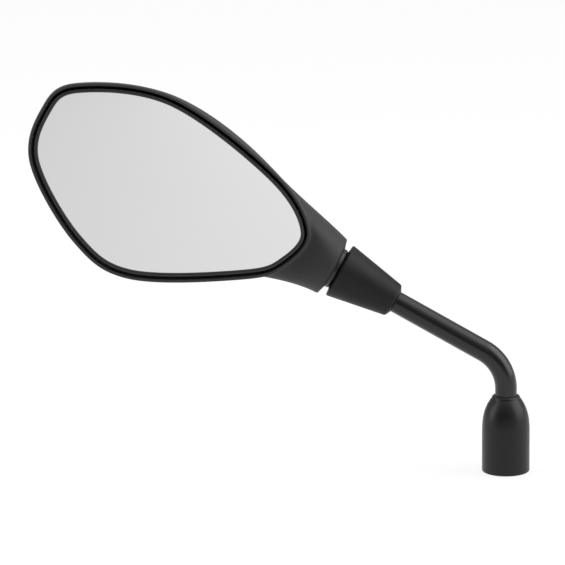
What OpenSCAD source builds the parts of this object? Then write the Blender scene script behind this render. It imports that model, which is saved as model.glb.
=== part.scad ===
// Motorcycle rear-view mirror with a bent rod stem, in millimetres.
// The row frame stands on the threaded stud: origin at the plane where the washer meets the
// handlebar clamp, +Z up the stud, +X to the right seen from the rider's side, +Y away from the rider.
// The rod bends over to the left and ends in a ball, and the mirror head is clamped round that ball.

/* [Stem] */
// Diameter of the painted steel rod
rod_d = 12; // [11:0.5:13]
// Radius of the rod's bend, to its centre line
bend_r = 25; // [20:1:28]
// Height of the corner where the two centre lines of the rod meet
corner_h = 41; // [40:0.5:60]
// Length of the sloping leg, from that corner to the centre of the ball
arm_len = 122.5; // [110:0.5:160]
// Slope of that leg above the horizontal
arm_rise = 28.8; // [20:0.1:40]
// Turn of that leg towards the back, seen from above
arm_turn = 5.5; // [0:0.5:12]

/* [Stud, washer and lock nut] */
// Thread diameter of the stud that screws into the handlebar clamp
stud_d = 10; // [8:0.5:10]
// Length of stud below the washer
stud_reach = 21; // [16:1:24]
// Width of the relief groove at the washer's plane
relief_w = 1; // [0.6:0.1:1.6]
// Depth of that groove
relief_depth = 0.7; // [0.4:0.1:1.2]
// Free thread left between the nut and the rod's shoulder
nut_travel = 2; // [1.5:0.5:3]
// Size of the lock nut across its flats
nut_af = 17; // [15:0.5:18]
// Height of the lock nut
nut_h = 6; // [5:0.5:7]
// Outer diameter of the washer
washer_d = 19.6; // [16:0.2:20]
// Thickness of the washer
washer_t = 1.6; // [1:0.1:2.5]

/* [Rubber boot] */
// Outer diameter of the bell-shaped boot
boot_d = 26.6; // [25:0.2:32]
// Height of the boot
boot_h = 44.5; // [40:0.5:46]
// Thickness of the boot's wall
boot_wall = 2; // [1.6:0.1:2.2]
// Height of the domed top, above the straight part
boot_dome = 22; // [14:1:28]
// Height of the thick collar that grips the rod
boot_grip = 6; // [3:0.5:8]
// How far the boot's mouth hangs below the stud's end
boot_overhang = 1; // [0.5:0.5:3]

/* [Ball joint] */
// Diameter of the ball at the end of the stem
ball_d = 19; // [17:0.5:19]
// Diameter of the shank that carries the ball
shank_d = 10; // [8:0.5:10]
// Thickness of the two plastic cups round the ball
cup_t = 1.2; // [0.8:0.1:1.4]
// Running gap between ball, cups and their seats
ball_gap = 0.15; // [0.1:0.01:0.2]
// Half angle of the lower cup's mouth, round the stem
cup_mouth = 56; // [52:1:60]
// Half angle at the upper edge of the lower cup
cup_rim = 80; // [76:1:84]
// Half angle at the lower edge of the upper cup
crown_rim = 104; // [102:1:110]
// Half angle at the upper opening of the upper cup
crown_top = 150; // [140:1:155]
// Wall of the socket that holds the joint, round its bore
socket_wall = 3; // [2.8:0.1:3.3]
// Diameter of the socket's nose, which shows below the neck
nose_d = 24; // [23:0.2:25]
// How far the nose stands out of the neck
nose_out = 2.9; // [2.4:0.1:3.4]
// Opening at the tip of the nose
nose_bore = 18.6; // [18:0.2:19.6]
// Height of the socket above the ball's centre
socket_top = 13; // [12:0.5:15]
// Thickness of the pressure cap above the ball's upper cup, at its rim
cap_rim = 8; // [7:0.5:9]
// Wire diameter of the joint's spring
spring_wire = 1.8; // [1.4:0.1:2.2]
// Mean diameter of the spring's coils
spring_d = 14; // [12:0.5:15]
// Length of the spring as fitted
spring_len = 9; // [8:0.5:12]
// Number of coils
spring_turns = 3.5; // [2.5:0.5:4]
// Thickness of the clamp plate that closes the joint
clamp_t = 2; // [1.5:0.5:3]
// Distance of the clamp plate's screws from the arm's centre line
clamp_pitch = 16; // [15:0.2:16.4]
// Shank diameter of the clamp plate's screws
clamp_screw_d = 3; // [2.6:0.2:3.2]
// Length of those screws
clamp_screw_len = 8; // [6:0.5:9]

/* [Cone cover and seal] */
// Gap between the rim of the cover and the edge of the neck
cover_gap = 4.4; // [4.2:0.1:6]
// Diameter at the cover's wide end
cover_d = 32; // [30:0.2:33]
// Diameter at the cover's narrow end
cover_tip_d = 19.2; // [18:0.2:21]
// Length of the cover, without the bevel at its narrow end
cover_len = 34.8; // [33:0.2:40]
// Length of that bevel
cover_bevel = 1.8; // [1:0.1:3]
// Rounding of the cover's wide rim
cover_round = 1; // [0.6:0.1:1.4]
// Depth of the seal's seat inside the cover
seal_depth = 4.6; // [4:0.1:5.4]
// Gap between the socket's nose and the seal
seal_gap = 0.75; // [0.7:0.05:1]
// Hexagon of the ball stud, across its flats
flange_af = 14; // [12:0.5:15]
// Thickness of that hexagon
flange_t = 4; // [3:0.5:5]
// Diameter of the ball stud's threaded tail
tail_d = 8; // [6:0.5:8]
// Length of that tail
tail_len = 15; // [12:1:18]
// Thickness of the spring washer under the hexagon
lock_t = 1.2; // [0.8:0.1:1.6]
// Thickness of the cover's web, which that washer clamps against the rod
web_t = 2.5; // [2:0.1:4]

/* [Housing] */
// Width of the mirror head's rim
rim_w = 159; // [150:1:180]
// Height of the mirror head's rim
rim_h = 116.2; // [105:0.2:130]
// Place of the rim's right end, measured from the ball's centre
rim_right = -3.9; // [-12:0.1:0]
// Place of the rim's lowest edge, measured from the ball's centre
rim_bottom = -9; // [-12:0.1:-4]
// Distance of the rim's plane in front of the ball's centre
rim_front = 23; // [22:0.5:27]
// Outer diameter of the neck at its end
neck_d = 35; // [34:0.2:38]
// Distance from the ball's centre to the edge of the neck
neck_depth = 10; // [9:0.5:11]
// How far the neck's end face bulges towards the stem
neck_bulge = 1.2; // [0.8:0.1:1.6]
// Rounding of the neck's edge
neck_round = 1.2; // [0.8:0.1:1.8]
// Thickness of the moulded wall
wall = 2.3; // [1.8:0.1:2.6]
// Thickness of the lip round the rim
lip_t = 1.7; // [1.2:0.1:2]
// Height of the straight band behind the lip
band_h = 3; // [2:0.5:4]
// Draft of the skin where it leaves that band
draft = 20; // [15:1:30]
// How much less draft the skin has above the neck
shoulder_draft = 22; // [10:1:26]
// Where that is least, in degrees round the neck from its front upwards
shoulder_turn = 50; // [40:1:60]
// Fullness of the back where the skin leaves the rim
fullness = 0.24; // [0.22:0.01:0.3]
// Fullness of the back where the skin runs into the neck
neck_fullness = 0.3; // [0.26:0.01:0.36]
// Mean flare of the neck, away from the arm's direction
neck_flare = 9; // [6:0.5:12]
// How much more the neck flares on top than at its sides
top_flare = 8; // [4:0.5:9]
// Thickness of the ribs round the joint socket
rib_t = 2; // [1.6:0.2:2.4]
// Reach of those ribs, from the arm's line
rib_reach = 40; // [36:1:44]
// Thickness of the webs behind the clamp screws' bosses
web_side_t = 1.8; // [1.6:0.1:2.4]
// Length of those webs, before the wall cuts them
web_reach = 38; // [34:1:42]

/* [Glass and carrier] */
// Radius of the convex glass
glass_r = 1300; // [1000:100:1800]
// Thickness of the glass
glass_t = 2; // [1.8:0.1:2.1]
// Thickness of the adhesive foam pad behind the glass
pad_t = 0.8; // [0.6:0.1:1]
// Thickness of the carrier's floor
floor_t = 1.5; // [1.3:0.1:1.7]
// Open groove between the housing's lip and the carrier
groove_w = 1.6; // [1.2:0.1:2]
// Width of the carrier's bezel, seen from the front
bezel_w = 2; // [1.6:0.1:2.6]
// Thickness of the bezel in front of the glass
bezel_t = 1; // [0.8:0.1:1.2]
// How far the bezel reaches over the glass
bezel_over = 0.8; // [0.5:0.1:1]
// How far the bezel lies behind the lip
bezel_back = 0.5; // [0.2:0.1:1]
// Shank diameter of the carrier's screws
carrier_screw_d = 2.8; // [2.2:0.2:3]
// Head diameter of those screws
carrier_head_d = 5.6; // [5:0.2:6]

/* [Hidden] */
$fn = 64;

// Slip fit between pieces of one assembly, and running fit between pieces that turn
fit = 0.03;
run = 0.05;

// Directions of the arm: along it towards the head, across it upwards, and across it backwards
arm = [-cos(arm_rise) * cos(arm_turn), cos(arm_rise) * sin(arm_turn), sin(arm_rise)];
up = [sin(arm_rise) * cos(arm_turn), -sin(arm_rise) * sin(arm_turn), cos(arm_rise)];
back = [sin(arm_turn), cos(arm_turn), 0];
ball_at = [0, 0, corner_h] + arm_len * arm;

// Heights on the stud
nut_low = washer_t;
nut_high = nut_low + nut_h;
shoulder_h = nut_high + nut_travel;
stud_low = -stud_reach;
boot_low = stud_low - boot_overhang;
boot_high = boot_low + boot_h;

// Places along the arm, counted from the ball's centre and negative towards the stem
neck_end = -neck_depth;
nose_end = neck_end - nose_out;
cover_end = neck_end - cover_gap;
seal_r = norm([nose_d / 2, nose_end]) + seal_gap;
seal_back = cover_end - seal_depth;
flange_high = seal_back - 0.3;
flange_low = flange_high - flange_t;
web_high = flange_low - lock_t;
rod_end = web_high - web_t;
tail_end = flange_low - tail_len;
cover_tip = cover_end - cover_len;

// Radii of the joint's shells
ball_r = ball_d / 2;
cup_in = ball_r + ball_gap;
cup_out = cup_in + cup_t;
seat_r = cup_out + ball_gap;
bore_r = seat_r + 0.2;
socket_d = 2 * (bore_r + socket_wall);
cap_top = socket_top - 1;
cap_low = cap_top - cap_rim;
clamp_low = cap_top + spring_len;
boss_h = clamp_screw_len - clamp_t + 1;
ear_r = clamp_screw_d + 0.4;
shoulder_in = -8;
housing_floor = -5;
rib_top = 8;

module on_arm(a = 0) {
    translate(ball_at)
        rotate([0, 0, 180 - arm_turn])
            rotate([0, 90 - arm_rise, 0])
                rotate([0, 0, 180])
                    translate([0, 0, a])
                        children();
}

// Solid turned about the arm, from [radius, place along the arm] points
module turned(outline) {
    on_arm()
        rotate_extrude($fn = 96)
            polygon(outline);
}

function arc(centre, r, from, to, steps) =
    [for (k = [0:steps]) centre + r * [cos(from + (to - from) * k / steps), sin(from + (to - from) * k / steps)]];

// Stem: one steel rod, turned down to a threaded stud at its foot and tapped at its upper end
module stem_rod() {
    bend = 90 - arm_rise;
    tangent = bend_r * tan(bend / 2);
    color("#26262a")
        difference() {
            union() {
                translate([0, 0, stud_low + 1])
                    cylinder(d = stud_d, h = stud_reach - 1 - relief_w / 5);
                translate([0, 0, stud_low])
                    cylinder(d1 = stud_d - 2, d2 = stud_d, h = 1);
                translate([0, 0, -relief_w])
                    cylinder(d = stud_d - 2 * relief_depth, h = 2 * relief_w);
                translate([0, 0, relief_w * 4 / 5])
                    cylinder(d = stud_d, h = shoulder_h - relief_w * 4 / 5 + 1);
                rotate([0, 0, 180 - arm_turn])
                    translate([bend_r, 0, corner_h - tangent])
                        rotate([90, 0, 0])
                            rotate([0, 0, 180 - bend]) {
                                rotate_extrude(angle = bend)
                                    translate([bend_r, 0])
                                        circle(d = rod_d);
                                translate([bend_r, 0, 0])
                                    rotate([90, 0, 0])
                                        cylinder(d = rod_d, h = arm_len - tangent + rod_end);
                                rotate([0, 0, bend])
                                    translate([bend_r, 0, 0])
                                        rotate([-90, 0, 0])
                                            cylinder(d = rod_d, h = corner_h - tangent - shoulder_h);
                            }
            }
            on_arm(tail_end - 1)
                cylinder(d = tail_d + 2 * fit, h = rod_end - tail_end + 2);
        }
}

// Lock nut: plain hexagon nut with chamfered corners
module lock_nut() {
    corner = nut_af / cos(30);
    color("#8c8f94")
        translate([0, 0, nut_low])
            difference() {
                intersection() {
                    cylinder(d = corner, h = nut_h, $fn = 6);
                    rotate_extrude($fn = 96)
                        polygon([
                            [0, 0], [nut_af / 2, 0], [corner / 2 + 0.1, (corner - nut_af) * 0.3],
                            [corner / 2 + 0.1, nut_h - (corner - nut_af) * 0.3], [nut_af / 2, nut_h], [0, nut_h]
                        ]);
                }
                translate([0, 0, -1])
                    cylinder(d = stud_d + 2 * run, h = nut_h + 2);
            }
}

module nut_washer() {
    color("#9a9da1")
        difference() {
            cylinder(d = washer_d, h = washer_t - run);
            translate([0, 0, -1])
                cylinder(d = stud_d + 0.6, h = washer_t + 2);
        }
}

// Boot: bell-shaped rubber moulding that covers the nut and grips the rod above it
module rubber_boot() {
    r = boot_d / 2;
    top_r = rod_d / 2 + 1.2;
    dome_low = boot_high - boot_dome;
    function bell(u) = r - (r - top_r) * pow(u, 2.6);
    inner_high = 1 - boot_grip / boot_dome;
    color("#2b2a2b")
        rotate_extrude($fn = 96)
            polygon(concat(
                [[r - boot_wall, boot_low + 0.3], [r - boot_wall + 0.4, boot_low]],
                arc([r - 1.1, boot_low + 1.1], 1.1, -90, 0, 4),
                [for (k = [0:9]) [bell(k / 9), dome_low + (boot_dome - 0.4) * k / 9]],
                [[top_r - 0.4, boot_high], [rod_d / 2 + run, boot_high]],
                [[rod_d / 2 + run, boot_high - boot_grip]],
                [for (k = [6:-1:0]) [bell(inner_high * k / 6) - boot_wall, dome_low + boot_dome * inner_high * k / 6]]
            ));
}

// Ball stud: turned in one piece, a ball on a shank, a hexagon and a threaded tail
module ball_stud() {
    color("#a8abb0")
        on_arm() {
            difference() {
                union() {
                    sphere(r = ball_r, $fn = 96);
                    translate([0, 0, flange_low + 1])
                        cylinder(d = shank_d, h = -flange_low - 1 - ball_r / 2);
                }
                translate([0, 0, ball_r - 1])
                    cylinder(r = ball_r, h = 2);
            }
            translate([0, 0, flange_low])
                cylinder(d = flange_af / cos(30), h = flange_t, $fn = 6);
            translate([0, 0, tail_end])
                cylinder(d = tail_d, h = flange_low - tail_end + 1);
        }
}

module stud_lock_washer() {
    color("#7d8085")
        on_arm(web_high)
            difference() {
                cylinder(d = flange_af - 0.4, h = lock_t);
                translate([0, 0, -1])
                    cylinder(d = tail_d + 0.4, h = lock_t + 2);
            }
}

// Cone cover: thick moulding pushed on the rod's end, with a web under the stud's hexagon and a pocket round it
module cone_cover() {
    r = cover_d / 2;
    tip_r = cover_tip_d / 2;
    seat = nose_d / 2 + 0.15;
    pocket_r = flange_af / 2 / cos(30) + 2.3;
    color("#343335")
        turned(concat(
            [[rod_d / 2 + fit, rod_end], [rod_d / 2 + fit, cover_tip - cover_bevel]],
            [[rod_d / 2 + 0.3, cover_tip - cover_bevel], [tip_r - 0.4, cover_tip - 0.2]],
            [[tip_r, cover_tip + 0.3]],
            arc([r - cover_round, cover_end - cover_round], cover_round, 0, 90, 4),
            [[seat + 0.3, cover_end], [seat, cover_end - 0.3], [seat, seal_back]],
            [[pocket_r, seal_back], [pocket_r, web_high]],
            [[tail_d / 2 + 0.2, web_high], [tail_d / 2 + 0.2, rod_end]]
        ));
}

module seal_ring() {
    color("#161616")
        on_arm()
            difference() {
                translate([0, 0, seal_back])
                    cylinder(d = nose_d, h = -seal_back - 8);
                sphere(r = seal_r, $fn = 96);
                translate([0, 0, seal_back - 1])
                    cylinder(d = shank_d + 0.2, h = -seal_back);
            }
}

// Zone of a spherical shell round the ball, between two half angles counted from the stem
module shell_zone(r_in, r_out, from, to) {
    on_arm()
        intersection() {
            difference() {
                sphere(r = r_out, $fn = 96);
                sphere(r = r_in, $fn = 96);
            }
            rotate_extrude($fn = 96)
                polygon([
                    (r_in - 2) * [sin(from), -cos(from)], (r_out + 2) * [sin(from), -cos(from)],
                    (r_out + 4) * [sin((from + to) / 2), -cos((from + to) / 2)],
                    (r_out + 2) * [sin(to), -cos(to)], (r_in - 2) * [sin(to), -cos(to)]
                ]);
        }
}

module lower_cup() {
    color("#d8d5c8")
        shell_zone(cup_in, cup_out, cup_mouth, cup_rim);
}

module upper_cup() {
    color("#e2dfd4")
        shell_zone(cup_in, cup_out, crown_rim, crown_top);
}

// Joint socket: die-cast sleeve pushed into the neck from inside, its nose through the neck's end
module joint_socket() {
    color("#47484b")
        on_arm()
            difference() {
                union() {
                    translate([0, 0, nose_end])
                        cylinder(d = nose_d, h = -nose_end);
                    translate([0, 0, shoulder_in + 0.05])
                        cylinder(d = socket_d, h = socket_top - shoulder_in - 0.05);
                }
                sphere(r = seat_r, $fn = 96);
                translate([0, 0, 0.6])
                    cylinder(r = bore_r, h = socket_top);
                translate([0, 0, nose_end - 0.01])
                    cylinder(d1 = nose_bore, d2 = 2 * seat_r * sin(50), h = -seat_r * cos(50) - nose_end + 0.2);
            }
}

module pressure_cap() {
    color("#55575b")
        on_arm()
            difference() {
                union() {
                    translate([0, 0, cap_low])
                        cylinder(r = bore_r - 0.15, h = cap_rim);
                    translate([0, 0, cap_top])
                        cylinder(d = spring_d - spring_wire - 0.6, h = 2);
                }
                sphere(r = seat_r, $fn = 96);
                translate([0, 0, cap_low])
                    cylinder(d = 5, h = 20);
            }
}

// Spring: round wire wound in a helix between the pressure cap and the clamp plate
module joint_spring() {
    turns = spring_turns;
    sides = 8;
    steps = round(turns * 20);
    wire_r = spring_wire / 2;
    rise = spring_len - spring_wire - 0.1;
    rings = [for (k = [0:steps]) let (
        angle = 360 * turns * k / steps,
        h = wire_r + 0.05 + rise * k / steps
    ) [for (q = [0:sides - 1]) let (
        r = spring_d / 2 + wire_r * cos(360 * q / sides)
    ) [r * cos(angle), r * sin(angle), h - wire_r * sin(360 * q / sides)]]];
    color("#c0c3c7")
        on_arm(cap_top)
            tube_of(rings);
}

// Closed solid through a list of rings with as many points each, its ends closed flat
module tube_of(rings) {
    n = len(rings[0]);
    m = len(rings);
    polyhedron(
        points = [for (ring = rings) each ring],
        faces = concat(
            [[for (q = [0:n - 1]) q]],
            [for (k = [0:m - 2], q = [0:n - 1]) [k * n + q, (k + 1) * n + q, (k + 1) * n + (q + 1) % n]],
            [for (k = [0:m - 2], q = [0:n - 1]) [k * n + q, (k + 1) * n + (q + 1) % n, k * n + (q + 1) % n]],
            [[for (q = [n - 1:-1:0]) (m - 1) * n + q]]
        ),
        convexity = 10
    );
}

// Clamp plate: pressed steel bridge over the spring, screwed to two bosses of the housing
module clamp_plate() {
    color("#9fa3a8")
        on_arm(clamp_low)
            difference() {
                union() {
                    cylinder(d = spring_d + 6, h = clamp_t);
                    for (side = [-1, 1])
                        translate([side * clamp_pitch, 0, 0])
                            cylinder(r = ear_r, h = clamp_t);
                    translate([-clamp_pitch, -3.2, 0])
                        cube([2 * clamp_pitch, 6.4, clamp_t]);
                    translate([0, 0, -1.5])
                        cylinder(d = spring_d - spring_wire - 0.6, h = 2);
                }
                for (side = [-1, 1])
                    translate([side * clamp_pitch, 0, -1])
                        cylinder(d = clamp_screw_d + 0.4, h = clamp_t + 2);
                translate([0, 0, -2])
                    cylinder(d = 6, h = clamp_t + 3);
            }
}

// Pan-head screw along +Z, its head's underside at the origin
module pan_screw(d, length, head_d, head_h) {
    difference() {
        union() {
            translate([0, 0, -length])
                cylinder(d = d, h = length);
            rotate_extrude()
                polygon([
                    [0, 0], [head_d / 2, 0], [head_d / 2, head_h * 0.5],
                    [head_d / 2 - head_h * 0.45, head_h], [0, head_h]
                ]);
        }
        for (turn = [0, 90])
            rotate([0, 0, turn])
                translate([-head_d * 0.28, -0.4, head_h * 0.4])
                    cube([head_d * 0.56, 0.8, head_h]);
    }
}

module clamp_screw(side) {
    color("#b4b7bb")
        on_arm(clamp_low + clamp_t)
            translate([side * clamp_pitch, 0, 0])
                pan_screw(clamp_screw_d, clamp_screw_len, 2 * clamp_screw_d - 0.4, 2);
}

module clamp_screw_upper() {
    clamp_screw(1);
}

module clamp_screw_lower() {
    clamp_screw(-1);
}

// Outline of the rim, seen from the front, as points in percent of its width and height.
// It starts at the right end beside the neck and runs round over the top.
rim_shape = [
    [100, 25.2], [87.9, 54.7], [51.5, 93.1], [16.8, 99.4], [4.4, 85.9],
    [0.6, 59.4], [16, 20.2], [35.7, 1.8], [75.6, 1.4], [91.1, 7.6]
];
per_span = 8;
rim_n = len(rim_shape) * per_span;
rim_knots = [for (p = rim_shape) [rim_right + rim_w * (p[0] / 100 - 1), rim_bottom + rim_h * p[1] / 100]];
rim_mid = [rim_right - 0.52 * rim_w, rim_bottom + 0.5 * rim_h];

// Smooth curve through four neighbouring points, at a share t of the middle span
function through(p, q, r, s, t) =
    0.5 * (2 * q + (r - p) * t + (2 * p - 5 * q + 4 * r - s) * t * t + (3 * q - p - 3 * r + s) * t * t * t);

function knot(k) = rim_knots[(k + len(rim_knots)) % len(rim_knots)];

rim_line = [for (k = [0:len(rim_knots) - 1], j = [0:per_span - 1])
    through(knot(k - 1), knot(k), knot(k + 1), knot(k + 2), j / per_span)];

// Inward direction at each point of the outline
rim_inward = [for (i = [0:rim_n - 1]) let (
    along = rim_line[(i + 1) % rim_n] - rim_line[(i + rim_n - 1) % rim_n]
) [-along[1], along[0]] / norm(along)];

// The rim and all that lies in it follow the sphere of the convex glass
function sag(p) = pow(norm(p - rim_mid), 2) / (2 * glass_r);

// Point of the rim moved inwards by inset, drawn to the middle by share, at a depth behind the lip
function rim_point(i, inset, depth, share = 1) = let (
    p = rim_mid + share * (rim_line[i] + inset * rim_inward[i] - rim_mid)
) [p[0], depth - rim_front + sag(p), p[1]];

function rim_ring(inset, depth, share = 1) = [for (i = [0:rim_n - 1]) rim_point(i, inset, depth, share)];

// Rings along the skin, along the inside of the wall and along the middle of the wall
skin_rows = 18;
wall_rows = 10;
middle_rows = 6;

// Angle round the neck that each point of the rim runs to: 0 at the front, 90 on top
neck_lead = 21.6;
function neck_angle(i) = 360 * i / rim_n + neck_lead;

function neck_point(i, r, a) = a * arm - r * cos(neck_angle(i)) * back + r * sin(neck_angle(i)) * up;

// Skin of the housing: each line leaves the rim backwards and runs into the neck along the arm
function skin(i, s) = let (
    j = (i + rim_n) % rim_n,
    start = rim_point(j, 0, band_h),
    end = neck_point(j, neck_d / 2, neck_end + neck_round),
    reach = norm(end - start),
    over = sin(neck_angle(j)),
    slope = draft - shoulder_draft * pow(max(0, cos(neck_angle(j) - shoulder_turn)), 8),
    off = sin(slope) * [rim_inward[j][0], 0, rim_inward[j][1]] + cos(slope) * [0, 1, 0],
    flare = neck_flare + top_flare * over,
    onto = cos(flare) * arm + sin(flare) * (over * up - cos(neck_angle(j)) * back),
    p1 = start + fullness * reach * off,
    p2 = end + neck_fullness * reach * onto,
    t = 1 - s
) t * t * t * start + 3 * t * t * s * p1 + 3 * t * s * s * p2 + s * s * s * end;

// Point under the skin, at a depth square to it
function under_skin(i, s, depth) = let (
    across = skin(i + 1, s) - skin(i - 1, s),
    along = skin(i, s + 0.01) - skin(i, s - 0.01),
    normal = cross(across, along)
) skin(i, s) + depth * normal / norm(normal);

// Share of a skin line at which the inside of the wall passes a level along the arm, by halving
function level_share(i, level, lo = 0, hi = 1, n = 14) = let (
    mid = (lo + hi) / 2
) n == 0 ? mid
    : under_skin(i, mid, wall) * arm > level ? level_share(i, level, mid, hi, n - 1)
    : level_share(i, level, lo, mid, n - 1);

// Share of a skin line just behind the rim's band
function band_share(i) = let (
    reach = norm(skin(i, 1) - skin(i, 0))
) 1.5 / (3 * fullness * reach);

// Rings under the skin from the rim's band down to a level along the arm, at a depth below the surface
function inner_rings(depth, rows, level) = let (
    lows = [for (i = [0:rim_n - 1]) level_share(i, level)],
    highs = [for (i = [0:rim_n - 1]) band_share(i)],
    floor_ring = [for (i = [0:rim_n - 1]) under_skin(i, lows[i], depth)]
) concat(
    [for (k = [0:rows - 1])
        [for (i = [0:rim_n - 1]) under_skin(i, highs[i] + (lows[i] - highs[i]) * k / rows, depth)]],
    [[for (p = floor_ring) p + (level - p * arm) * arm]]
);

// Depths behind the lip of what lies in the rim
glass_front = bezel_back + bezel_t;
pad_front = glass_front + glass_t;
floor_front = pad_front + pad_t;
floor_back = floor_front + floor_t;
head_seat = floor_front + 2.1;
post_front = head_seat + 1.6;

// Where the carrier's screws sit, in percent of the rim's width and height
screw_spots = [[18, 80], [27, 26], [58, 74], [64, 20]];
spots = [for (p = screw_spots) [rim_right + rim_w * (p[0] / 100 - 1), rim_bottom + rim_h * p[1] / 100]];

// Places its children at a screw spot, +Z pointing out of the glass, the origin at a depth behind the lip
module at_spot(k, depth) {
    translate(ball_at + [spots[k][0], depth - rim_front + sag(spots[k]), spots[k][1]])
        rotate([90, 0, 0])
            children();
}

// Solid up to the middle of the wall, which ribs and posts are cut to
module wall_middle() {
    rings = concat([rim_ring(lip_t + 2, band_h)], inner_rings(wall / 2, middle_rows, housing_floor - 1.5));
    translate(ball_at)
        tube_of([for (k = [len(rings) - 1:-1:0]) rings[k]]);
}

// Housing: one moulding with the shell, the neck, the ribs that hold the socket, and bosses for the screws
module housing() {
    color("#2f2f31")
        difference() {
            union() {
                translate(ball_at)
                    tube_of(concat(
                        [[for (i = [0:rim_n - 1]) neck_point(i, nose_d / 2 + 0.5, neck_end - neck_bulge)]],
                        [for (p = arc([neck_d / 2 - neck_round, neck_end + neck_round], neck_round, -90, -30, 2))
                            [for (i = [0:rim_n - 1]) neck_point(i, p[0], p[1])]],
                        [for (k = [skin_rows:-1:0]) [for (i = [0:rim_n - 1]) skin(i, k / skin_rows)]],
                        [rim_ring(0, 1), rim_ring(lip_t * 0.16, 0.35), rim_ring(lip_t * 0.5, 0)],
                        [rim_ring(lip_t * 0.84, 0.35), rim_ring(lip_t, 1), rim_ring(lip_t + 0.15, band_h)],
                        inner_rings(wall, wall_rows, housing_floor)
                    ));
                intersection() {
                    wall_middle();
                    union() {
                        on_arm(housing_floor - 1)
                            for (turn = [0:45:180])
                                rotate([0, 0, turn])
                                    translate([0, -rib_t / 2, 0])
                                        cube([rib_reach, rib_t, rib_top - housing_floor + 1]);
                        on_arm(clamp_low - boss_h)
                            for (side = [-1, 1]) {
                                translate([side * clamp_pitch, 0, 0])
                                    cylinder(d = clamp_screw_d + 2.8, h = boss_h);
                                translate([side * (clamp_pitch + 1 + web_reach / 2), 0, boss_h / 2])
                                    cube([web_reach, web_side_t, boss_h], center = true);
                            }
                        for (k = [0:3])
                            at_spot(k, post_front)
                                translate([0, 0, -60])
                                    cylinder(r = 3.2, h = 60);
                    }
                }
            }
            on_arm(shoulder_in)
                cylinder(d = socket_d + 0.1, h = rib_top - shoulder_in + 1);
            on_arm(nose_end)
                cylinder(d = nose_d + 2 * fit, h = shoulder_in - nose_end + 1);
            for (side = [-1, 1])
                on_arm(clamp_low - boss_h)
                    translate([side * clamp_pitch, 0, 0.6]) {
                        cylinder(d = clamp_screw_d + 0.02, h = boss_h);
                        translate([0, 0, boss_h - 0.6])
                            cylinder(r = ear_r + 0.3, h = clamp_t + 2.6);
                    }
            for (k = [0:3])
                at_spot(k, post_front)
                    translate([0, 0, -9])
                        cylinder(d = carrier_screw_d + 0.02, h = 10);
        }
}

// Glass carrier: tray with a bezel that holds the glass, and four sunk seats for its screws
module glass_carrier() {
    outer = lip_t + groove_w;
    inner = outer + bezel_w;
    pocket = inner - bezel_over - 0.1;
    under_pad = inner + 2;
    color("#222224")
        difference() {
            union() {
                translate(ball_at)
                    tube_of([
                        rim_ring(inner, floor_back, 0.03),
                        rim_ring(inner, floor_back, 0.55),
                        rim_ring(outer + 1.3, floor_back),
                        rim_ring(outer, floor_back - 1.8),
                        rim_ring(outer, bezel_back + 0.5),
                        rim_ring(outer + bezel_w * 0.25, bezel_back),
                        rim_ring(outer + bezel_w * 0.6, bezel_back),
                        rim_ring(inner, bezel_back + 0.45),
                        rim_ring(inner, glass_front - 0.05),
                        rim_ring(pocket, glass_front - 0.05),
                        rim_ring(pocket, floor_front),
                        rim_ring(under_pad, floor_front),
                        rim_ring(under_pad, floor_front, 0.7),
                        rim_ring(under_pad, floor_front, 0.35),
                        rim_ring(under_pad, floor_front, 0.03)
                    ]);
                for (k = [0:3])
                    at_spot(k, post_front - 0.05)
                        cylinder(d = carrier_head_d + 3, h = post_front - floor_back + 0.5);
            }
            for (k = [0:3]) {
                at_spot(k, head_seat)
                    cylinder(d = carrier_head_d + 0.6, h = head_seat - floor_front + 0.2);
                at_spot(k, post_front + 1)
                    cylinder(d = carrier_screw_d + 0.4, h = 4);
            }
        }
}

// Thin lens-like plate in the rim, between two depths
module plate_in_rim(inset, front, behind) {
    shares = [0.03, 0.35, 0.7, 1];
    translate(ball_at)
        tube_of(concat(
            [for (f = shares) rim_ring(inset, behind, f)],
            [for (k = [len(shares) - 1:-1:0]) rim_ring(inset, front, shares[k])]
        ));
}

module glass_pad() {
    color("#3a3a3a")
        plate_in_rim(lip_t + groove_w + bezel_w + 2, pad_front + 0.03, floor_front - 0.03);
}

module mirror_glass() {
    color("#cfd3d6")
        plate_in_rim(lip_t + groove_w + bezel_w - bezel_over, glass_front, pad_front);
}

module carrier_screw(k) {
    color("#b4b7bb")
        at_spot(k, head_seat - 0.02)
            pan_screw(carrier_screw_d, 9, carrier_head_d, 1.8);
}

module carrier_screw_1() {
    carrier_screw(0);
}

module carrier_screw_2() {
    carrier_screw(1);
}

module carrier_screw_3() {
    carrier_screw(2);
}

module carrier_screw_4() {
    carrier_screw(3);
}

stem_rod();
lock_nut();
nut_washer();
rubber_boot();
ball_stud();
stud_lock_washer();
cone_cover();
seal_ring();
lower_cup();
upper_cup();
joint_socket();
pressure_cap();
joint_spring();
clamp_plate();
clamp_screw_upper();
clamp_screw_lower();
housing();
glass_carrier();
carrier_screw_1();
carrier_screw_2();
carrier_screw_3();
carrier_screw_4();
glass_pad();
mirror_glass();
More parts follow.
